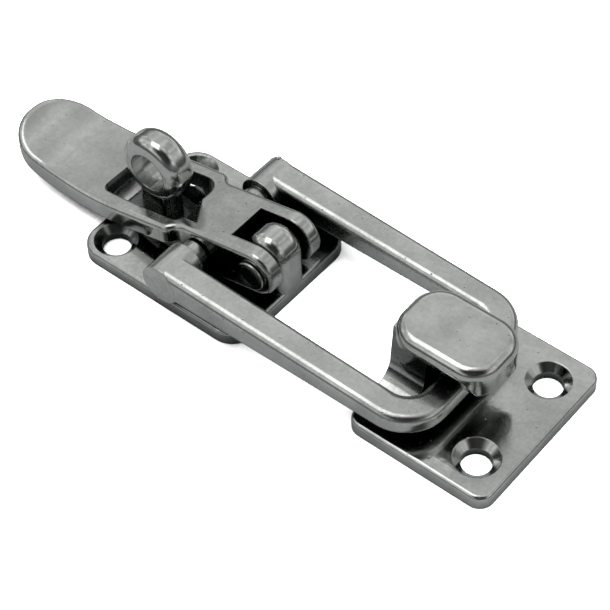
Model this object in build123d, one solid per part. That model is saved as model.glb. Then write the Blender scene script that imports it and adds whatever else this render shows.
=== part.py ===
from build123d import *
import math
import os

# Lockable toggle fastener in cast and polished metal: a screwed base with a cranked lever, a cast
# loop that hooks over a keeper, and a padlock eye that stands up through a slot in the lever.
# Millimetres. +X runs from the lever's free end towards the keeper, +Z is up off the mounting
# surface, and the origin is midway between the two base screws, on the mounting surface.

# ---- plates -------------------------------------------------------------------------------------
PLATE_T = 3.0               # thickness of both screwed plates
PLATE_EDGE = 0.8            # rounding of their top rims
BASE_X = (-5.7, 35.0)       # ends of the base plate
BASE_W = 34.5
BASE_CORNER = 5.0
BASE_SCREWS = 23.6          # distance between the two base screws, along Y
KEEPER_X = (61.7, 92.3)     # ends of the keeper plate
KEEPER_W = 37.0
KEEPER_CORNER = 3.0
KEEPER_SCREW_X = 85.4
KEEPER_SCREWS = 22.0        # distance between the two keeper screws, along Y
SCREW_R = 2.9               # through hole
SINK_R = 4.4                # top of the countersink
SINK_DEPTH = 1.4

# ---- main pivot: lug on the base, fork on the lever ------------------------------------------------
PIVOT_X = 31.0
PIN_R = 1.75
RUN = 0.05                  # radial clearance of a running pin
LUG_X = 30.15               # middle of the lug's round head, a little behind the pivot
LUG_R = 4.85
LUG_HALF = 3.9
LUG_DOME = 2.6              # rounding of the lug's two rims
LUG_FOOT = 0.8              # how far the lug's foot spreads on the lever side
FORK_R = 4.9
FORK_HALF = 7.4
SLOT_HALF = 4.3             # inside half width of the fork
CROTCH_X = 23.6             # bottom of the fork's slot
PIN_HEAD_R = 3.1
PIN_HEAD_T = 0.8
PIN_HEAD_EDGE = 0.5

# ---- lever ----------------------------------------------------------------------------------------
SAG_X, SAG_Z = -18.0, 7.25  # where the handle's top face is lowest
SAG_R = 100.0               # radius of that face towards the fork, seen from the side
LIP_X = -20.0               # where the handle's end starts to turn up
LIP_R = 28.0
LIP_T = 2.3                 # thickness at the lip's end
BEND_X = 2.0                # where the curved handle turns into the straight fork
HANDLE_T = 4.0
TIP_X, TIP_HALF = -33.4, 8.6
TIP_R = 8.4
WAIST_X, WAIST_HALF = -9.0, 9.8
WAIST_R = 120.0
SHOULDER_HEAD, SHOULDER_HALF = 10.9, 9.3   # the two corners of the S between handle and fork
SHOULDER_FOOT = 12.7
SHOULDER_R = 2.5
SHOULDER_END = 14.6         # where the fork's straight side starts
LEVER_EDGE = 1.0
BLOCK_Z = 3.6               # underside of the deep block that carries the loop's pin
CHEEK_X = 6.0               # how far the block's cheeks run back beside the eye slot
CHEEK_RAKE = 1.2
EYE_SLOT_X = (-8.2, 11.8)
EYE_SLOT_HALF = 6.5
EYE_SLOT_CORNERS = (1.6, 1.0, 1.6, 3.6)    # near and far handle end, near and far fork end
FACET_X, FACET_Y = 15.6, (-5.0, 0.8)       # hand-ground relief at the slot's near corner
FACET_DEPTH = 1.5

# ---- loop -----------------------------------------------------------------------------------------
LOOP_PIN_X, LOOP_PIN_Z = 17.6, 7.6
KNUCKLE_R = 4.2
ARM_OUT = 18.9              # outer half width of the loop at its knuckles
BAR_OUT = 18.3              # and at the crossbar
ARM_IN = 12.3
BAR_X = (71.9, 77.4)        # inner and outer face of the crossbar
LOOP_CORNER = 9.0
LOOP_CORNER_IN = 4.2
ARM_BOTTOM = 5.3
ARM_TOP = 11.7              # height of the arms' top at the knuckles
SIDE_SPARE = 5.0            # how far the side view runs on past the crossbar
BAR_TOP = 9.4               # height of the top at the side view's end
KNUCKLE_STEP = 0.6          # how far the knuckle's face is set in from the arm's
ARM_EDGE = 1.5
BOSS_IN = 10.4              # inner end of the knuckle
STUB_IN = 7.8               # inner end of the small boss beside the lever
STUB_R = 2.9
LOOP_PIN_R = 1.6

# ---- padlock eye ------------------------------------------------------------------------------------
EYE_X, EYE_Z = 1.7, 15.4
EYE_R = 7.2
EYE_HOLE_R = 4.1
EYE_T = 6.6
EYE_EDGE = 2.4
STEM_X = 7.4                # stem size along X and Y
STEM_Y = 5.0
STEM_EDGE = 1.2
TENON_R = 2.2

# ---- hook on the keeper -----------------------------------------------------------------------------
NECK_X = (61.7, 69.6)
NECK_TOP_HALF = 4.4
NECK_WAIST = (5.2, 7.6)     # half width and height where the neck starts to flare
NECK_FLARE = (6.3, 4.4)
NECK_FOOT_HALF = 8.8
HEAD_TOP = 17.9
HEAD_END = 83.2
HEAD_HALF = 7.6
HEAD_LOW_HALF = 6.1         # half width at the nose's lower rim
HEAD_CREASE_Z = 15.6        # where the sides turn in
HEAD_CORNER = 6.0
HEAD_ROUND = 1.9
THROAT_Z = 13.4             # ceiling of the throat that takes the crossbar
NOSE_IN = 79.2              # inside face of the nose
NOSE_LEAN = 1.2             # how far that face leans back towards the neck at the ceiling
NOSE_Z = 12.0
THROAT_RISE = (0.6, 1.4)    # how much the ceiling rises to the neck's front and to its back

CLEAR = 40.0                # reach of cutters that pass right through a part


def lever_top(x):
    """Height of the lever's top face at x: a lip that turns up, a flat, an arc and a straight fork."""
    if x < LIP_X:
        return SAG_Z + LIP_R - math.sqrt(LIP_R ** 2 - (x - LIP_X) ** 2)
    if x < SAG_X:
        return SAG_Z
    if x <= BEND_X:
        return SAG_Z + SAG_R - math.sqrt(SAG_R ** 2 - (x - SAG_X) ** 2)
    return lever_top(BEND_X) + math.tan(FORK_TILT) * (x - BEND_X)


FORK_TILT = math.asin((BEND_X - SAG_X) / SAG_R)
# The fork's round end is tangent to its top face, which sets the height of the main pivot.
PIVOT_Z = lever_top(PIVOT_X) - FORK_R / math.cos(FORK_TILT)
FORK_TOUCH = (PIVOT_X - FORK_R * math.sin(FORK_TILT), PIVOT_Z + FORK_R * math.cos(FORK_TILT))


def along_y(sketch, half):
    """Solid of a side-view sketch, spread to both sides of the middle plane."""
    return extrude(Plane.XZ * sketch, amount=half, both=True)


def cylinder_y(x, z, radius, y_from, y_to):
    """Round bar along Y."""
    length = y_to - y_from
    place = Pos(x, (y_from + y_to) / 2, z) * Rot(90, 0, 0)
    return place * Cylinder(radius, length)


def block(x_range, y_range, z_range):
    """Plain block between two corners."""
    size = [b - a for a, b in (x_range, y_range, z_range)]
    middle = [(a + b) / 2 for a, b in (x_range, y_range, z_range)]
    return Pos(*middle) * Box(*size)


def plate(x_range, width, corner):
    """Screwed plate with rounded corners and a soft top rim."""
    length = x_range[1] - x_range[0]
    middle = (x_range[0] + x_range[1]) / 2
    body = extrude(Pos(middle, 0) * RectangleRounded(length, width, corner), amount=PLATE_T)
    top = body.faces().sort_by(Axis.Z)[-1]
    return fillet(top.edges(), PLATE_EDGE)


def screw_holes(x, spacing):
    """Two countersunk holes in line along Y."""
    holes = []
    for side in (-1, 1):
        y = side * spacing / 2
        holes.append(Pos(x, y, PLATE_T / 2) * Cylinder(SCREW_R, 2 * PLATE_T))
        sink = Cone(SCREW_R, SINK_R, SINK_DEPTH, align=(Align.CENTER, Align.CENTER, Align.MAX))
        holes.append(Pos(x, y, PLATE_T) * sink)
    return holes


def pivot_lug():
    """Lug between the fork's tines: a round head on a foot that ends flush with the plate."""
    left = LUG_X - LUG_R
    right = LUG_X + LUG_R
    side = Polyline(
        (left, PIVOT_Z), (left - LUG_FOOT, PLATE_T / 2), (right, PLATE_T / 2), (right, PIVOT_Z)
    ) + ThreePointArc((right, PIVOT_Z), (LUG_X, PIVOT_Z + LUG_R), (left, PIVOT_Z))
    body = along_y(make_face(side), LUG_HALF)
    rims = [
        e for e in body.edges()
        if abs(abs(e.center().Y) - LUG_HALF) < 0.01 and e.center().Z > PLATE_T
    ]
    return fillet(rims, LUG_DOME)


def base_plate():
    """Base plate with its lug, screw holes, pivot bore and the socket for the padlock eye."""
    body = plate(BASE_X, BASE_W, BASE_CORNER) + pivot_lug()
    body -= screw_holes(0, BASE_SCREWS)
    body -= cylinder_y(PIVOT_X, PIVOT_Z, PIN_R + RUN, -2 * LUG_HALF, 2 * LUG_HALF)
    body -= Pos(EYE_X, 0, PLATE_T / 2) * Cylinder(TENON_R, 2 * PLATE_T)
    return body


def padlock_eye():
    """Thick ring on a stem, with a tenon riveted through the base plate."""
    ring = cylinder_y(EYE_X, EYE_Z, EYE_R, -EYE_T / 2, EYE_T / 2)
    ring = fillet(ring.edges(), EYE_EDGE)
    stem = block(
        (EYE_X - STEM_X / 2, EYE_X + STEM_X / 2), (-STEM_Y / 2, STEM_Y / 2), (PLATE_T, EYE_Z)
    )
    stem = fillet(stem.edges().filter_by(Axis.Z), STEM_EDGE)
    tenon = Pos(EYE_X, 0, PLATE_T / 2) * Cylinder(TENON_R, PLATE_T)
    hole = cylinder_y(EYE_X, EYE_Z, EYE_HOLE_R, -EYE_T, EYE_T)
    return ring + stem + tenon - hole


def handle_line(drop, tip_drop):
    """The handle seen from the side, from its tip to its shoulders, lowered by drop."""
    def spot(x, fall=drop):
        return (x, lever_top(x) - fall)
    middle = spot((TIP_X + LIP_X) / 2, drop - (drop - tip_drop) / 4)
    line = ThreePointArc(spot(TIP_X, tip_drop), middle, spot(LIP_X))
    line += Line(spot(LIP_X), spot(SAG_X))
    line += ThreePointArc(spot(SAG_X), spot((SAG_X + BEND_X) / 2), spot(BEND_X))
    return line + Line(spot(BEND_X), spot(SHOULDER_END))


def handle_side():
    """Side view of the handle: a plate of even thickness that thins towards its lip."""
    top = handle_line(0, 0)
    low = handle_line(HANDLE_T, LIP_T)
    return make_face(top + low + Line(top @ 0, low @ 0) + Line(top @ 1, low @ 1))


def fork_side():
    """Side view of the fork, of even thickness to its round end, and of the deep block behind it."""
    start = SHOULDER_END
    under = (PIVOT_X + FORK_R * math.sin(FORK_TILT), PIVOT_Z - FORK_R * math.cos(FORK_TILT))
    nose = (PIVOT_X + FORK_R * math.cos(FORK_TILT), PIVOT_Z + FORK_R * math.sin(FORK_TILT))
    block_end = under[0] - (under[1] - BLOCK_Z) / math.tan(FORK_TILT)
    outline = Line((start, lever_top(start)), FORK_TOUCH)
    outline += ThreePointArc(FORK_TOUCH, nose, under)
    outline += Polyline(under, (block_end, BLOCK_Z), (start, BLOCK_Z), (start, lever_top(start)))
    return make_face(outline)


def cheek_side():
    """Side view of the block's cheeks, which run back under the handle beside the eye slot."""
    end = SHOULDER_END + 1
    high = HANDLE_T - 1
    return make_face(Polyline(
        (CHEEK_X, lever_top(CHEEK_X) - high), (end, lever_top(end) - high), (end, BLOCK_Z),
        (CHEEK_X + CHEEK_RAKE, BLOCK_Z), (CHEEK_X, lever_top(CHEEK_X) - high)))


def lever_plan():
    """Plan of the lever: fork, shoulders and a handle with a round end."""
    corners = [
        (PIVOT_X + 2 * FORK_R, FORK_HALF, 0),
        (SHOULDER_FOOT, FORK_HALF, SHOULDER_R),
        (SHOULDER_HEAD, SHOULDER_HALF, SHOULDER_R),
        (WAIST_X, WAIST_HALF, WAIST_R),
        (TIP_X, TIP_HALF, TIP_R),
    ]
    mirrored = [(x, -y, radius) for x, y, radius in reversed(corners)]
    outline = corners + mirrored
    sketch = make_face(Polyline(*[(x, y) for x, y, radius in outline], close=True))
    for x, y, radius in outline:
        if radius:
            vertex = sketch.vertices().sort_by_distance((x, y, 0))[0]
            sketch = fillet(vertex, radius)
    return sketch


def rounded_top_rim(body):
    """Round the long edges of a lever piece's top face, which lie well off the middle plane."""
    rim = [
        e for e in body.edges()
        if abs(e.center().Z - lever_top(e.center().X)) < 0.4 and abs(e.center().Y) > FORK_HALF / 2
    ]
    return fillet(rim, LEVER_EDGE)


def eye_slot():
    """Cutter for the slot that the padlock eye stands up through."""
    x_low, x_high = EYE_SLOT_X
    corners = (
        (x_low, -EYE_SLOT_HALF), (x_low, EYE_SLOT_HALF), (x_high, -EYE_SLOT_HALF), (x_high, EYE_SLOT_HALF)
    )
    sketch = Pos((x_low + x_high) / 2, 0) * Rectangle(x_high - x_low, 2 * EYE_SLOT_HALF)
    for (x, y), radius in zip(corners, EYE_SLOT_CORNERS):
        sketch = fillet(sketch.vertices().sort_by_distance((x, y, 0))[0], radius)
    return extrude(sketch, amount=CLEAR)


def facet():
    """Cutter for the relief at the eye slot's near corner: a sloped floor that rises to the top face."""
    edge = EYE_SLOT_X[1]
    y_low, y_high = FACET_Y
    start = Vector(edge, y_high, lever_top(edge))
    end = Vector(FACET_X, y_low, lever_top(FACET_X))
    deep = Vector(edge, y_low, lever_top(edge) - FACET_DEPTH)
    normal = (end - start).cross(deep - start)
    if normal.Z < 0:
        normal = -normal
    slope = Plane(origin=start, x_dir=end - start, z_dir=normal)
    above = slope * Pos(0, 0, CLEAR / 2) * Box(2 * CLEAR, 2 * CLEAR, CLEAR)
    outline = Polyline(
        (edge - 1, y_high), (edge, y_high), (FACET_X, y_low), (edge - 1, y_low), (edge - 1, y_high))
    return extrude(make_face(outline), amount=CLEAR) & above


def lever():
    """Lever: the handle, the deep block for the loop's pin and the fork, in one casting."""
    handle = along_y(handle_side(), 2 * WAIST_HALF) & extrude(lever_plan(), amount=CLEAR)
    body = rounded_top_rim(handle) + rounded_top_rim(along_y(fork_side(), FORK_HALF))
    body += along_y(cheek_side(), FORK_HALF)
    body -= facet()
    body -= eye_slot()
    body -= block((CROTCH_X, CLEAR), (-SLOT_HALF, SLOT_HALF), (-CLEAR, CLEAR))
    body -= cylinder_y(PIVOT_X, PIVOT_Z, PIN_R, -CLEAR, CLEAR)
    body -= cylinder_y(LOOP_PIN_X, LOOP_PIN_Z, LOOP_PIN_R + RUN, -CLEAR, CLEAR)
    return body


def main_pivot_pin():
    """Pin through the fork and the lug, riveted over at both ends."""
    half = FORK_HALF + PIN_HEAD_T
    body = cylinder_y(PIVOT_X, PIVOT_Z, PIN_R, -half, half)
    for side in (-1, 1):
        ends = sorted((side * FORK_HALF, side * half))
        head = cylinder_y(PIVOT_X, PIVOT_Z, PIN_HEAD_R, *ends)
        rim = head.edges().group_by(Axis.Y)[-1 if side > 0 else 0]
        body += fillet(rim, PIN_HEAD_EDGE)
    return body


def loop_plan():
    """Plan of the loop, open towards the lever."""
    left = LOOP_PIN_X
    end = BAR_X[1]
    outer = make_face(Polyline(
        (left, -ARM_OUT), (end, -BAR_OUT), (end, BAR_OUT), (left, ARM_OUT), (left, -ARM_OUT)))
    outer = fillet(outer.vertices().group_by(Axis.X)[-1], LOOP_CORNER)
    inner = Pos(BAR_X[0] / 2, 0) * RectangleRounded(BAR_X[0], 2 * ARM_IN, LOOP_CORNER_IN)
    return outer - inner


def loop():
    """Cast loop: two arms and a crossbar, with a round knuckle at the end of each arm."""
    end = BAR_X[1] + SIDE_SPARE
    side = make_face(Polyline(
        (LOOP_PIN_X, ARM_BOTTOM), (end, ARM_BOTTOM), (end, BAR_TOP), (LOOP_PIN_X, ARM_TOP),
        (LOOP_PIN_X, ARM_BOTTOM)))
    body = along_y(side, 2 * ARM_OUT) & extrude(loop_plan(), amount=CLEAR)
    long_edges = [
        e for e in body.edges()
        if abs(e.tangent_at(0.5).Z) < 0.5 and e.center().X > LOOP_PIN_X + 1
    ]
    body = fillet(long_edges, ARM_EDGE)
    face_y = ARM_OUT - KNUCKLE_STEP
    for hand in (-1, 1):
        body -= cylinder_y(LOOP_PIN_X, LOOP_PIN_Z, KNUCKLE_R, *sorted((hand * face_y, hand * CLEAR)))
        body += cylinder_y(LOOP_PIN_X, LOOP_PIN_Z, KNUCKLE_R, *sorted((hand * BOSS_IN, hand * face_y)))
        body += cylinder_y(LOOP_PIN_X, LOOP_PIN_Z, STUB_R, *sorted((hand * STUB_IN, hand * BOSS_IN)))
    return body - cylinder_y(LOOP_PIN_X, LOOP_PIN_Z, LOOP_PIN_R, -ARM_OUT, ARM_OUT)


def loop_pivot_pin():
    """Pin through the lever's block, fast in the loop's two knuckles."""
    half = ARM_OUT - KNUCKLE_STEP
    return cylinder_y(LOOP_PIN_X, LOOP_PIN_Z, LOOP_PIN_R, -half, half)


def hook_head():
    """Head of the hook: a rounded block over the crossbar, with a nose that turns down."""
    start = NECK_X[0]
    length = HEAD_END - start
    plan = Pos(start + length / 2, 0) * RectangleRounded(length, 2 * HEAD_HALF, HEAD_CORNER)
    body = Pos(0, 0, NOSE_Z) * extrude(plan, amount=HEAD_TOP - NOSE_Z)
    top = body.faces().sort_by(Axis.Z)[-1]
    body = fillet(top.edges(), HEAD_ROUND)
    lean = (HEAD_HALF - HEAD_LOW_HALF) / (HEAD_CREASE_Z - NOSE_Z)
    wide = HEAD_LOW_HALF + lean * (HEAD_TOP + 1 - NOSE_Z)
    sides = Plane.YZ * make_face(Polyline(
        (-HEAD_LOW_HALF, NOSE_Z), (HEAD_LOW_HALF, NOSE_Z), (wide, HEAD_TOP + 1), (-wide, HEAD_TOP + 1),
        (-HEAD_LOW_HALF, NOSE_Z)))
    body &= extrude(sides, amount=2 * HEAD_END)
    throat = make_face(Polyline(
        (start - 1, NOSE_Z - 1), (NOSE_IN, NOSE_Z - 1), (NOSE_IN - NOSE_LEAN, THROAT_Z),
        (NECK_X[1], THROAT_Z + THROAT_RISE[0]), (start - 1, THROAT_Z + THROAT_RISE[1]),
        (start - 1, NOSE_Z - 1)))
    return body - along_y(throat, 2 * HEAD_HALF)


def hook_neck():
    """Neck of the hook: narrow under the head and flared at its foot."""
    top = THROAT_Z + 2
    side = Line((NECK_TOP_HALF, top), NECK_WAIST)
    side += ThreePointArc(NECK_WAIST, NECK_FLARE, (NECK_FOOT_HALF, PLATE_T))
    side += Line((NECK_FOOT_HALF, PLATE_T), (NECK_FOOT_HALF, PLATE_T / 2))
    other = mirror(side, about=Plane.YZ)
    face = make_face(side + other + Line(side @ 0, other @ 0) + Line(side @ 1, other @ 1))
    return Pos(NECK_X[0], 0, 0) * extrude(Plane.YZ * face, amount=NECK_X[1] - NECK_X[0])


def keeper():
    """Keeper plate and its hook, in one casting."""
    body = plate(KEEPER_X, KEEPER_W, KEEPER_CORNER) + hook_neck() + hook_head()
    body -= screw_holes(KEEPER_SCREW_X, KEEPER_SCREWS)
    return body


PARTS = {
    "base_plate": base_plate,
    "padlock_eye": padlock_eye,
    "lever": lever,
    "main_pivot_pin": main_pivot_pin,
    "loop": loop,
    "loop_pivot_pin": loop_pivot_pin,
    "keeper": keeper,
}

os.makedirs("parts", exist_ok=True)
for name, make in PARTS.items():
    export_step(make(), f"parts/{name}.step")
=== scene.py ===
"""Looks for a lockable toggle bolt latch: polished castings on a pale floor under soft light.

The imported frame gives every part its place. This script dresses the castings, models the main
rivet and a small casting nib, and sets the studio. Lengths are in metres.
"""

import logging
import math
from collections.abc import Callable
from dataclasses import dataclass, field
from enum import Enum

import bpy
from mathutils import Matrix, Vector


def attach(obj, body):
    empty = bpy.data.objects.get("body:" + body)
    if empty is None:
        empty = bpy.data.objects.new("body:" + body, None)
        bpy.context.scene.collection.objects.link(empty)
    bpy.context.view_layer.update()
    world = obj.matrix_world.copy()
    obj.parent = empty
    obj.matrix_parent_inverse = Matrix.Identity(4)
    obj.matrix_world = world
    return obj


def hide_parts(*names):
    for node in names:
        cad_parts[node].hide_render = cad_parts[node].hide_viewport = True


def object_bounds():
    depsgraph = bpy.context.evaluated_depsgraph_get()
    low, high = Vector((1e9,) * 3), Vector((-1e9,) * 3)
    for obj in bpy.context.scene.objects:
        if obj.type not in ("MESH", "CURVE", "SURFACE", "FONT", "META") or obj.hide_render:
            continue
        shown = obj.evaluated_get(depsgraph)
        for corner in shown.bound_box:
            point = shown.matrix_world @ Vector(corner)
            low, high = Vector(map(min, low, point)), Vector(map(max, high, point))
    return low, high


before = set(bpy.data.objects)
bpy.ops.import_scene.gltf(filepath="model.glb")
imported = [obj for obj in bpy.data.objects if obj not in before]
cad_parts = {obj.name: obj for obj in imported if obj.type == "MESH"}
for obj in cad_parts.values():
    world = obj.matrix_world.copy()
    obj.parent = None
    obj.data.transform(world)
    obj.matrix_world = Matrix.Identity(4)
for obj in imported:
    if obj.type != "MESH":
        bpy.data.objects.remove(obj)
CAD_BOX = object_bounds()

log = logging.getLogger("latch")

MM = 0.001

Colour = tuple[float, float, float]
Spot = tuple[float, float, float]

# The colour mix node carries a set of sockets for each data type; these are its colour ones.
MIX_FIRST, MIX_SECOND, MIX_RESULT = 6, 7, 2

FACING = 0.9                    # how squarely a face must look along an axis to be taken
CLOUD_SPAN = (0.32, 0.68)       # noise values that give the darkest and the lightest cloud
SPECKLE_SPAN = (0.25, 0.75)     # and the darkest and the lightest speckle
CLOUD_ROUGHNESS = 0.65          # weight of the finer noise in the clouds
MARK_ROUGHNESS = 0.6            # and in the dents and the grain


class Body(Enum):
    """Moving bodies that the modelled pieces ride on."""

    LEVER = "lever_body"
    LOOP = "loop_body"


# ---- node groups ---------------------------------------------------------------------------------


class GroupBuilder:
    """Builds one shader node group with named inputs and outputs."""

    def __init__(self, name: str, inputs: dict[str, float], outputs: tuple[str, ...]) -> None:
        """Start a group.

        Args:
            name: Name of the group.
            inputs: Float inputs and their defaults.
            outputs: Names of the float outputs.
        """
        self.tree = bpy.data.node_groups.new(name, "ShaderNodeTree")
        for label, value in inputs.items():
            socket = self.tree.interface.new_socket(label, in_out="INPUT", socket_type="NodeSocketFloat")
            socket.default_value = value
        for label in outputs:
            self.tree.interface.new_socket(label, in_out="OUTPUT", socket_type="NodeSocketFloat")
        self.start = self.tree.nodes.new("NodeGroupInput")
        self.end = self.tree.nodes.new("NodeGroupOutput")

    def node(self, kind: str, **settings: object) -> bpy.types.Node:
        """Add a node.

        Args:
            kind: The node's type name.
            **settings: Attributes to set on it.

        Returns:
            The new node.
        """
        made = self.tree.nodes.new(kind)
        for key, value in settings.items():
            setattr(made, key, value)
        return made

    def link(self, source: bpy.types.NodeSocket, target: bpy.types.NodeSocket) -> None:
        """Join two sockets."""
        self.tree.links.new(source, target)

    def feed(self, source: object, target: bpy.types.NodeSocket) -> None:
        """Give an input its value.

        Args:
            source: Socket or number.
            target: The input socket.
        """
        if isinstance(source, (int, float)):
            target.default_value = source
        else:
            self.link(source, target)

    def math(self, operation: str, first: object, second: object = 0.0) -> bpy.types.NodeSocket:
        """Add a math node.

        Args:
            operation: Name of the operation.
            first: Socket or number.
            second: Socket or number.

        Returns:
            The result socket.
        """
        made = self.node("ShaderNodeMath", operation=operation)
        for index, value in enumerate((first, second)):
            self.feed(value, made.inputs[index])
        return made.outputs[0]

    def noise(self, scale: object, detail: float, roughness: float = 0.5) -> bpy.types.NodeSocket:
        """Add noise on Object coordinates.

        Args:
            scale: Socket or number for the noise scale.
            detail: Number of octaves.
            roughness: Weight of the finer octaves.

        Returns:
            The noise value.
        """
        place = self.node("ShaderNodeTexCoord")
        made = self.node("ShaderNodeTexNoise")
        self.link(place.outputs["Object"], made.inputs["Vector"])
        self.feed(scale, made.inputs["Scale"])
        made.inputs["Detail"].default_value = detail
        made.inputs["Roughness"].default_value = roughness
        return made.outputs[0]

    def ramp(self, value: bpy.types.NodeSocket, low: object, high: object) -> bpy.types.NodeSocket:
        """Stretch a value so that low gives 0 and high gives 1, smoothly.

        Args:
            value: Socket to stretch.
            low: Socket or number that gives 0.
            high: Socket or number that gives 1.

        Returns:
            The stretched value.
        """
        made = self.node("ShaderNodeMapRange", interpolation_type="SMOOTHSTEP")
        self.link(value, made.inputs["Value"])
        self.feed(low, made.inputs["From Min"])
        self.feed(high, made.inputs["From Max"])
        return made.outputs["Result"]


def mottle_group() -> bpy.types.NodeTree:
    """Cloudy tone left by tumbling and polishing.

    Returns:
        Group with a Tone output around 0.5.
    """
    scales = {"Scale": 110.0, "Fine Scale": 1300.0, "Fine Share": 0.3}
    group = GroupBuilder("cloudy_tone", scales, ("Tone",))
    broad = group.noise(group.start.outputs["Scale"], 5.0, CLOUD_ROUGHNESS)
    fine = group.ramp(group.noise(group.start.outputs["Fine Scale"], 2.0), *SPECKLE_SPAN)
    fine_part = group.math("MULTIPLY", fine, group.start.outputs["Fine Share"])
    rest = group.math("SUBTRACT", 1.0, group.start.outputs["Fine Share"])
    broad_part = group.math("MULTIPLY", group.ramp(broad, *CLOUD_SPAN), rest)
    group.link(group.math("ADD", broad_part, fine_part), group.end.inputs["Tone"])
    return group.tree


def pit_group() -> bpy.types.NodeTree:
    """Scattered casting pores.

    Returns:
        Group with a Pits mask, 1 in a pore, and a Depth that falls into it.
    """
    sizes = {"Scale": 650.0, "Size": 0.15, "Amount": 0.4}
    group = GroupBuilder("casting_pores", sizes, ("Pits", "Depth"))
    place = group.node("ShaderNodeTexCoord")
    cells = group.node("ShaderNodeTexVoronoi", feature="F1")
    group.link(place.outputs["Object"], cells.inputs["Vector"])
    group.link(group.start.outputs["Scale"], cells.inputs["Scale"])
    cells.inputs["Randomness"].default_value = 1.0
    near = group.ramp(cells.outputs["Distance"], group.start.outputs["Size"], 0.0)
    chance = group.node("ShaderNodeSeparateColor")
    group.link(cells.outputs["Color"], chance.inputs["Color"])
    chosen = group.math("LESS_THAN", chance.outputs["Red"], group.start.outputs["Amount"])
    pits = group.math("MULTIPLY", near, chosen)
    group.link(pits, group.end.inputs["Pits"])
    group.link(group.math("SUBTRACT", 1.0, pits), group.end.inputs["Depth"])
    return group.tree


def ripple_group() -> bpy.types.NodeTree:
    """Slow waves and fine tumbling marks of a polished casting's skin.

    Returns:
        Group with a Height output.
    """
    marks = {
        "Wave Scale": 60.0,
        "Dent Scale": 320.0,
        "Dent Share": 0.16,
        "Grain Scale": 2600.0,
        "Grain Share": 0.02,
    }
    group = GroupBuilder("polished_skin", marks, ("Height",))
    height = group.noise(group.start.outputs["Wave Scale"], 1.0)
    for mark in ("Dent", "Grain"):
        value = group.noise(group.start.outputs[f"{mark} Scale"], 2.0, MARK_ROUGHNESS)
        part = group.math("MULTIPLY", value, group.start.outputs[f"{mark} Share"])
        height = group.math("ADD", height, part)
    group.link(height, group.end.inputs["Height"])
    return group.tree


# ---- finishes -------------------------------------------------------------------------------------


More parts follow.
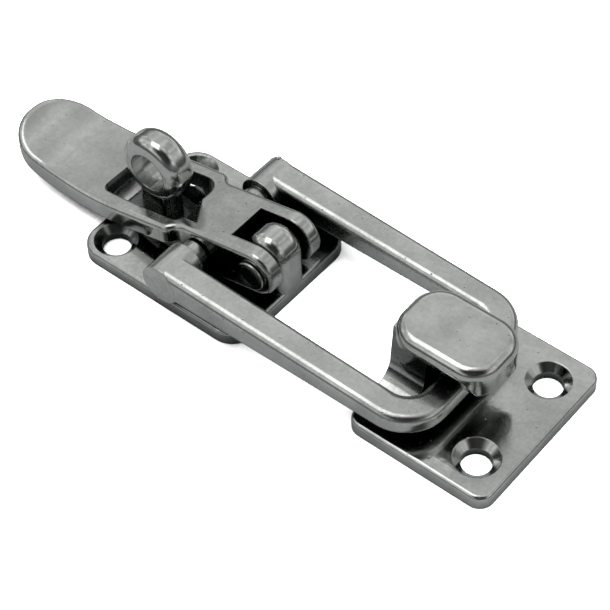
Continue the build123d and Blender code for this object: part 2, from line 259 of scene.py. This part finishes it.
@dataclass(frozen=True)
class CastFinish:
    """Polished casting: its tones, its gloss, the depth of its marks and the painted shade in its
    recesses.
    """

    name: str
    light: Colour = (0.735, 0.75, 0.72)
    dark: Colour = (0.485, 0.505, 0.485)
    pore: Colour = (0.13, 0.11, 0.08)
    gloss_low: float = 0.07
    gloss_high: float = 0.20
    wave_depth: float = 0.00020
    pit_depth: float = 0.00006
    pit_amount: float = 0.38
    edge_radius: float = 0.00030
    edge_samples: int = 6
    # Painted shade: recesses found by ambient occlusion are darkened towards this colour, within this
    # reach and between these levels.
    recess_shade: Colour = (0.028, 0.037, 0.035)
    recess_shade_reach: float = 0.011
    recess_shade_from: float = 0.66
    recess_shade_full: float = 0.30
    recess_shade_samples: int = 8

    def build(self, groups: dict[str, bpy.types.NodeTree]) -> bpy.types.Material:
        """Build the material.

        Args:
            groups: Shared node groups by name.

        Returns:
            The new material.
        """
        made = bpy.data.materials.new(self.name)
        made.use_nodes = True
        tree = made.node_tree
        shader = tree.nodes["Principled BSDF"]
        shader.inputs["Metallic"].default_value = 1.0
        tone = self._group(tree, groups["tone"])
        pores = self._group(tree, groups["pores"])
        pores.inputs["Amount"].default_value = self.pit_amount
        skin = self._group(tree, groups["skin"])
        polished = self._blend(tree, tone.outputs["Tone"], self.dark, self.light)
        pored = self._blend(tree, pores.outputs["Pits"], polished, self.pore)
        # Painted shade: the base colour darkens in the recesses.
        recess_shaded = self._blend(tree, self._painted_recess_shade(tree), pored, self.recess_shade)
        tree.links.new(recess_shaded, shader.inputs["Base Color"])
        rough = tree.nodes.new("ShaderNodeMapRange")
        rough.inputs["To Min"].default_value = self.gloss_high
        rough.inputs["To Max"].default_value = self.gloss_low
        tree.links.new(tone.outputs["Tone"], rough.inputs["Value"])
        tree.links.new(rough.outputs["Result"], shader.inputs["Roughness"])
        self._relief(tree, shader, skin.outputs["Height"], pores.outputs["Depth"])
        return made

    def _group(self, tree: bpy.types.NodeTree, group: bpy.types.NodeTree) -> bpy.types.Node:
        """Place a shared node group in the material."""
        placed = tree.nodes.new("ShaderNodeGroup")
        placed.node_tree = group
        return placed

    def _painted_recess_shade(self, tree: bpy.types.NodeTree) -> bpy.types.NodeSocket:
        """Mask of the painted shade in the recesses that ambient occlusion finds.

        Args:
            tree: The material's node tree.

        Returns:
            A value of 1 deep in a recess.
        """
        open_air = tree.nodes.new("ShaderNodeAmbientOcclusion")
        open_air.samples = self.recess_shade_samples
        open_air.inputs["Distance"].default_value = self.recess_shade_reach
        mask = tree.nodes.new("ShaderNodeMapRange")
        mask.interpolation_type = "SMOOTHSTEP"
        mask.inputs["From Min"].default_value = self.recess_shade_from
        mask.inputs["From Max"].default_value = self.recess_shade_full
        tree.links.new(open_air.outputs["AO"], mask.inputs["Value"])
        return mask.outputs["Result"]

    def _blend(self, tree: bpy.types.NodeTree, factor: bpy.types.NodeSocket,
               first: Colour | bpy.types.NodeSocket, second: Colour) -> bpy.types.NodeSocket:
        """Mix two colours.

        Args:
            tree: The material's node tree.
            factor: Socket that chooses between them.
            first: Colour at 0, or the socket that gives it.
            second: Colour at 1.

        Returns:
            The mixed colour.
        """
        mix = tree.nodes.new("ShaderNodeMix")
        mix.data_type = "RGBA"
        tree.links.new(factor, mix.inputs["Factor"])
        if isinstance(first, tuple):
            mix.inputs[MIX_FIRST].default_value = (*first, 1.0)
        else:
            tree.links.new(first, mix.inputs[MIX_FIRST])
        mix.inputs[MIX_SECOND].default_value = (*second, 1.0)
        return mix.outputs[MIX_RESULT]

    def _relief(self, tree: bpy.types.NodeTree, shader: bpy.types.Node,
                wave: bpy.types.NodeSocket, pits: bpy.types.NodeSocket) -> None:
        """Join soft edges, waves and pores into the shader's normal.

        Args:
            tree: The material's node tree.
            shader: The Principled shader.
            wave: Height of the waves.
            pits: Height of the pores.
        """
        edge = tree.nodes.new("ShaderNodeBevel")
        edge.samples = self.edge_samples
        edge.inputs["Radius"].default_value = self.edge_radius
        normal = edge.outputs["Normal"]
        for height, depth in ((wave, self.wave_depth), (pits, self.pit_depth)):
            bump = tree.nodes.new("ShaderNodeBump")
            bump.inputs["Strength"].default_value = 1.0
            bump.inputs["Distance"].default_value = depth
            tree.links.new(height, bump.inputs["Height"])
            tree.links.new(normal, bump.inputs["Normal"])
            normal = bump.outputs["Normal"]
        tree.links.new(normal, shader.inputs["Normal"])


@dataclass(frozen=True)
class FloorFinish:
    """Matt pale paper; the castings mirror it through a darker stand-in shader, a painted reflection."""

    colour: tuple[float, float, float, float] = (0.93, 0.93, 0.93, 1.0)
    dim: tuple[float, float, float, float] = (0.105, 0.108, 0.110, 1.0)
    roughness: float = 0.9
    sheen: float = 0.1
    # Painted shadow: the paper darkens where ambient occlusion finds the castings close over it.
    painted_shadow_reach: float = 0.015
    painted_shadow_from: float = 0.36
    painted_shadow_full: float = 0.20
    painted_shadow_samples: int = 8

    def build(self) -> bpy.types.Material:
        """Build the material.

        Returns:
            The new material.
        """
        made = bpy.data.materials.new("pale_paper")
        made.use_nodes = True
        tree = made.node_tree
        paper = tree.nodes["Principled BSDF"]
        mirrored = tree.nodes.new("ShaderNodeBsdfPrincipled")
        for shader, colour in ((paper, self.colour), (mirrored, self.dim)):
            shader.inputs["Base Color"].default_value = colour
            shader.inputs["Roughness"].default_value = self.roughness
            shader.inputs["Specular IOR Level"].default_value = self.sheen
        # Painted reflection: glossy rays see the dark stand-in shader instead of the pale paper.
        ray = tree.nodes.new("ShaderNodeLightPath")
        choice = tree.nodes.new("ShaderNodeMixShader")
        tree.links.new(ray.outputs["Is Glossy Ray"], choice.inputs[0])
        tree.links.new(paper.outputs[0], choice.inputs[1])
        tree.links.new(mirrored.outputs[0], choice.inputs[2])
        tree.links.new(choice.outputs[0], tree.nodes["Material Output"].inputs["Surface"])
        self._shade_beneath(tree, paper)
        return made

    def _shade_beneath(self, tree: bpy.types.NodeTree, paper: bpy.types.Node) -> None:
        """Paint shadow on the paper where the castings cover it closely.

        Args:
            tree: The material's node tree.
            paper: Shader of the paper.
        """
        open_air = tree.nodes.new("ShaderNodeAmbientOcclusion")
        open_air.samples = self.painted_shadow_samples
        open_air.inputs["Distance"].default_value = self.painted_shadow_reach
        tone = tree.nodes.new("ShaderNodeMapRange")
        tone.interpolation_type = "SMOOTHSTEP"
        tone.inputs["From Min"].default_value = self.painted_shadow_full
        tone.inputs["From Max"].default_value = self.painted_shadow_from
        tone.inputs["To Max"].default_value = self.colour[0]
        tree.links.new(open_air.outputs["AO"], tone.inputs["Value"])
        tree.links.new(tone.outputs["Result"], paper.inputs["Base Color"])


# ---- the latch's own sub-assemblies -------------------------------------------------------------------


@dataclass
class Castings:
    """The carried-over castings and the finish of each."""

    finishes: dict[str, CastFinish] = field(default_factory=lambda: {
        "base_plate": CastFinish("base_casting", recess_shade_from=0.70, recess_shade_full=0.36),
        "padlock_eye": CastFinish(
            "eye_casting", pit_amount=0.1, recess_shade_reach=0.0065, recess_shade_full=0.4),
        "lever": CastFinish(
            "lever_casting", edge_radius=0.0005, recess_shade_reach=0.006, recess_shade_full=0.25),
        "loop": CastFinish(
            "loop_casting", gloss_low=0.16, gloss_high=0.30, wave_depth=0.00022, pit_amount=0.5),
        "keeper": CastFinish("keeper_casting", recess_shade_from=0.6, recess_shade_full=0.25),
        "loop_pivot_pin": CastFinish("loop_rivet", recess_shade_reach=0.003),
    })

    def dress(self, groups: dict[str, bpy.types.NodeTree]) -> None:
        """Give every carried-over node its material.

        Args:
            groups: Shared node groups by name.
        """
        for node, finish in self.finishes.items():
            made = finish.build(groups)
            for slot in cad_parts[node].material_slots:
                slot.material = made
            log.info("dressed %s in %s", node, finish.name)


def edit_faces(piece: bpy.types.Object, chosen: Callable[[bpy.types.MeshPolygon], bool]) -> None:
    """Open a piece in edit mode with only the chosen faces selected.

    Args:
        piece: The active object.
        chosen: Says whether a face is wanted.
    """
    bpy.ops.object.mode_set(mode="EDIT")
    bpy.ops.mesh.select_mode(type="FACE")
    bpy.ops.mesh.select_all(action="DESELECT")
    bpy.ops.object.mode_set(mode="OBJECT")
    for face in piece.data.polygons:
        face.select = chosen(face)
    bpy.ops.object.mode_set(mode="EDIT")


@dataclass
class MainRivet:
    """Rivet of the main pivot: a shank and a peened, slightly dished head at each end."""

    x: float = 31.0 * MM
    z: float = 10.188969 * MM
    shank_radius: float = 1.75 * MM
    head_radius: float = 3.1 * MM
    fork_half: float = 7.4 * MM
    head_height: float = 0.8 * MM
    rim: float = 0.35 * MM
    rim_steps: int = 4
    rim_angle: float = math.radians(60)
    smooth_angle: float = math.radians(40)
    dish_inset: float = 0.75 * MM
    dish_depth: float = 0.18 * MM
    sides: int = 64
    finish: CastFinish = CastFinish(
        "main_rivet", gloss_low=0.12, gloss_high=0.22, recess_shade_reach=0.003, edge_radius=0.0001)

    def build(self, groups: dict[str, bpy.types.NodeTree]) -> None:
        """Model the rivet, dress it and let it ride on the lever.

        Args:
            groups: Shared node groups by name.
        """
        length = 2 * self.fork_half + self.head_height
        shank = self._round_bar("rivet_shank", self.shank_radius, 0.0, length)
        heads = [self._head(hand) for hand in (-1, 1)]
        bpy.ops.object.select_all(action="DESELECT")
        for piece in (shank, *heads):
            piece.select_set(True)
        bpy.context.view_layer.objects.active = shank
        bpy.ops.object.join()
        rivet = bpy.context.active_object
        rivet.name = "main_rivet"
        rivet.data.materials.clear()
        rivet.data.materials.append(self.finish.build(groups))
        bpy.ops.object.shade_smooth_by_angle(angle=self.smooth_angle)
        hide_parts("main_pivot_pin")
        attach(rivet, Body.LEVER.value)
        log.info("modelled the main rivet")

    def _round_bar(self, name: str, radius: float, middle: float, length: float) -> bpy.types.Object:
        """Add a bar along Y on the pivot's axis.

        Args:
            name: The bar's name.
            radius: Its radius.
            middle: Its middle along Y.
            length: Its length.

        Returns:
            The bar, with its place and turn applied.
        """
        bpy.ops.object.select_all(action="DESELECT")
        bpy.ops.mesh.primitive_cylinder_add(
            vertices=self.sides, radius=radius, depth=length, location=(self.x, middle, self.z),
            rotation=(math.radians(90), 0, 0))
        bar = bpy.context.active_object
        bar.name = name
        bpy.ops.object.transform_apply(location=True, rotation=True, scale=True)
        return bar

    def _head(self, hand: int) -> bpy.types.Object:
        """Shape one head by insetting its outer face and pressing the middle in.

        Args:
            hand: -1 for the near end, 1 for the far end.

        Returns:
            The finished head.
        """
        middle = hand * (self.fork_half + self.head_height / 2)
        head = self._round_bar(f"rivet_head_{hand}", self.head_radius, middle, self.head_height)
        edit_faces(head, lambda face: face.normal.y * hand > FACING)
        for depth in (self.dish_depth, self.dish_depth / 2):
            bpy.ops.mesh.inset(thickness=self.dish_inset, depth=0)
            bpy.ops.transform.translate(value=(0, -hand * depth, 0))
        bpy.ops.object.mode_set(mode="OBJECT")
        soft = head.modifiers.new("soft_rim", "BEVEL")
        soft.width = self.rim
        soft.segments = self.rim_steps
        soft.limit_method = "ANGLE"
        soft.angle_limit = self.rim_angle
        bpy.ops.object.modifier_apply(modifier=soft.name)
        return head


@dataclass
class CastingNib:
    """Small bead left where the loop's casting filled, on the far knuckle's upper end."""

    place: Spot = (16.4 * MM, 17.9 * MM, 11.55 * MM)
    radius: float = 0.5 * MM
    foot_spread: float = 1.5
    roundness: int = 4
    finish: CastFinish = CastFinish(
        "nib_skin", gloss_low=0.10, gloss_high=0.16, edge_radius=0.00005)

    def build(self, groups: dict[str, bpy.types.NodeTree]) -> None:
        """Model the bead, dress it and let it ride on the loop.

        Args:
            groups: Shared node groups by name.
        """
        bpy.ops.object.select_all(action="DESELECT")
        bpy.ops.mesh.primitive_ico_sphere_add(
            subdivisions=self.roundness, radius=self.radius, location=self.place)
        nib = bpy.context.active_object
        nib.name = "casting_nib"
        bpy.ops.object.transform_apply(location=True, rotation=True, scale=True)
        edit_faces(nib, lambda face: face.center.z < self.place[2])
        bpy.ops.transform.resize(
            value=(self.foot_spread, self.foot_spread, 1), center_override=self.place)
        bpy.ops.object.mode_set(mode="OBJECT")
        nib.data.materials.append(self.finish.build(groups))
        bpy.ops.object.shade_smooth()
        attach(nib, Body.LOOP.value)
        log.info("modelled the casting nib")


# ---- studio ---------------------------------------------------------------------------------------


@dataclass(frozen=True)
class Softbox:
    """Rectangular soft light, which the castings mirror unless it is left out of them."""

    name: str
    place: Spot
    aim: Spot
    size: tuple[float, float]
    power: float
    mirrored: bool = True

    def hang(self) -> None:
        """Hang the light."""
        data = bpy.data.lights.new(self.name, "AREA")
        data.shape = "RECTANGLE"
        data.size, data.size_y = self.size
        data.energy = self.power
        lamp = bpy.data.objects.new(self.name, data)
        bpy.context.scene.collection.objects.link(lamp)
        lamp.location = self.place
        lamp.visible_glossy = self.mirrored
        facing = Vector(self.aim) - Vector(self.place)
        lamp.rotation_euler = facing.to_track_quat("-Z", "Y").to_euler()


@dataclass(frozen=True)
class Room:
    """Surroundings: grey round the latch, dim at the floor, and dark on one side."""

    dark_side: Vector
    levels: tuple[tuple[float, float], ...] = (
        (0.0, 0.08), (0.28, 0.18), (0.48, 0.78), (0.72, 0.54), (0.95, 0.55))
    dark_from: float = 0.72
    dark_full: float = 0.93
    dark_level: float = 0.06
    clutter_scale: float = 3.5
    clutter_range: tuple[float, float] = (0.35, 0.65)
    clutter_low: float = 0.72
    clutter_high: float = 1.25

    def build(self) -> None:
        """Make the world that holds the surroundings."""
        world = bpy.data.worlds.new("studio")
        bpy.context.scene.world = world
        world.use_nodes = True
        tree = world.node_tree
        place = tree.nodes.new("ShaderNodeTexCoord").outputs["Generated"]
        level = self._height_levels(tree, place)
        for factor in (self._dark_side(tree, place), self._clutter(tree, place)):
            scaled = tree.nodes.new("ShaderNodeVectorMath")
            scaled.operation = "SCALE"
            tree.links.new(level, scaled.inputs[0])
            tree.links.new(factor, scaled.inputs["Scale"])
            level = scaled.outputs[0]
        tree.links.new(level, tree.nodes["Background"].inputs["Color"])

    def _height_levels(self, tree: bpy.types.NodeTree,
                       place: bpy.types.NodeSocket) -> bpy.types.NodeSocket:
        """Brightness by height, from the floor's level up to overhead.

        Args:
            tree: The world's node tree.
            place: Direction looked in.

        Returns:
            The grey level.
        """
        split = tree.nodes.new("ShaderNodeSeparateXYZ")
        tree.links.new(place, split.inputs[0])
        ramp = tree.nodes.new("ShaderNodeValToRGB")
        elements = ramp.color_ramp.elements
        while len(elements) < len(self.levels):
            elements.new(1.0)
        for element, (position, level) in zip(elements, self.levels):
            element.position = position
            element.color = (level, level, level, 1.0)
        tree.links.new(split.outputs["Z"], ramp.inputs["Fac"])
        return ramp.outputs["Color"]

    def _dark_side(self, tree: bpy.types.NodeTree,
                   place: bpy.types.NodeSocket) -> bpy.types.NodeSocket:
        """Factor that darkens the room around one direction.

        Args:
            tree: The world's node tree.
            place: Direction looked in.

        Returns:
            The factor.
        """
        nearness = tree.nodes.new("ShaderNodeVectorMath")
        nearness.operation = "DOT_PRODUCT"
        nearness.inputs[1].default_value = self.dark_side
        tree.links.new(place, nearness.inputs[0])
        span = (self.dark_from, self.dark_full)
        return self._stretch(tree, nearness.outputs["Value"], span, (1.0, self.dark_level))

    def _clutter(self, tree: bpy.types.NodeTree,
                 place: bpy.types.NodeSocket) -> bpy.types.NodeSocket:
        """Factor that gives the room broad lighter and darker patches.

        Args:
            tree: The world's node tree.
            place: Direction looked in.

        Returns:
            The factor.
        """
        noise = tree.nodes.new("ShaderNodeTexNoise")
        noise.inputs["Scale"].default_value = self.clutter_scale
        noise.inputs["Detail"].default_value = 1.0
        tree.links.new(place, noise.inputs["Vector"])
        patches = (self.clutter_low, self.clutter_high)
        return self._stretch(tree, noise.outputs[0], self.clutter_range, patches)

    def _stretch(self, tree: bpy.types.NodeTree, value: bpy.types.NodeSocket,
                 span: tuple[float, float], levels: tuple[float, float]) -> bpy.types.NodeSocket:
        """Turn one span of values smoothly into another.

        Args:
            tree: The world's node tree.
            value: Socket to turn.
            span: The values it runs between.
            levels: What they become.

        Returns:
            The new value.
        """
        made = tree.nodes.new("ShaderNodeMapRange")
        made.interpolation_type = "SMOOTHSTEP"
        bounds = zip(("From Min", "From Max", "To Min", "To Max"), (*span, *levels))
        for label, bound in bounds:
            made.inputs[label].default_value = bound
        tree.links.new(value, made.inputs["Value"])
        return made.outputs["Result"]


@dataclass
class Studio:
    """Floor, soft lights, surroundings and camera."""

    floor_size: float = 3.0
    floor_gap: float = 0.02 * MM
    eye: Spot = (0.19955, -0.18684, 0.28540)
    azimuth: float = math.radians(40.96)
    elevation: float = math.radians(49.13)
    roll: float = math.radians(-2.17)
    lens: float = 117.76
    sensor: float = 36.0
    near_clip: float = 0.01
    lights: tuple[Softbox, ...] = (
        Softbox("overhead", (-0.12, -0.03, 0.58), (0.03, 0, 0), (0.42, 0.30), 0.48),
        Softbox("wash", (0.03, 0, 0.9), (0.03, 0, 0), (1.8, 1.8), 60.0, mirrored=False),
    )

    def build(self) -> None:
        """Set the whole studio."""
        self.lay_floor()
        Room(self._towards_camera()).build()
        for light in self.lights:
            light.hang()
        self.place_camera()
        bpy.context.scene.view_settings.view_transform = "Standard"
        log.info("studio set")

    def lay_floor(self) -> None:
        """Lay the pale floor just under the latch."""
        height = CAD_BOX[0].z - self.floor_gap
        bpy.ops.mesh.primitive_plane_add(size=self.floor_size, location=(0, 0, height))
        sheet = bpy.context.active_object
        sheet.name = "floor"
        sheet.data.materials.append(FloorFinish().build())

    def place_camera(self) -> None:
        """Set the camera, rolled a little about its own line of sight."""
        back = self._towards_camera()
        level = Vector((math.cos(self.azimuth), math.sin(self.azimuth), 0))
        upright = back.cross(level)
        right = math.cos(self.roll) * level + math.sin(self.roll) * upright
        up = math.cos(self.roll) * upright - math.sin(self.roll) * level
        turn = Matrix((right, up, back)).transposed().to_4x4()
        data = bpy.data.cameras.new("view")
        data.lens = self.lens
        data.sensor_width = self.sensor
        data.clip_start = self.near_clip
        camera = bpy.data.objects.new("view", data)
        bpy.context.scene.collection.objects.link(camera)
        camera.matrix_world = Matrix.Translation(self.eye) @ turn
        bpy.context.scene.camera = camera

    def _towards_camera(self) -> Vector:
        """Direction from the latch to the camera."""
        flat = math.cos(self.elevation)
        across = (math.sin(self.azimuth) * flat, -math.cos(self.azimuth) * flat)
        return Vector((*across, math.sin(self.elevation)))


def main() -> None:
    """Build everything in order."""
    logging.basicConfig(level=logging.INFO)
    bpy.ops.object.select_all(action="DESELECT")
    groups = {"tone": mottle_group(), "pores": pit_group(), "skin": ripple_group()}
    Castings().dress(groups)
    MainRivet().build(groups)
    CastingNib().build(groups)
    Studio().build()


if __name__ == "__main__":
    main()
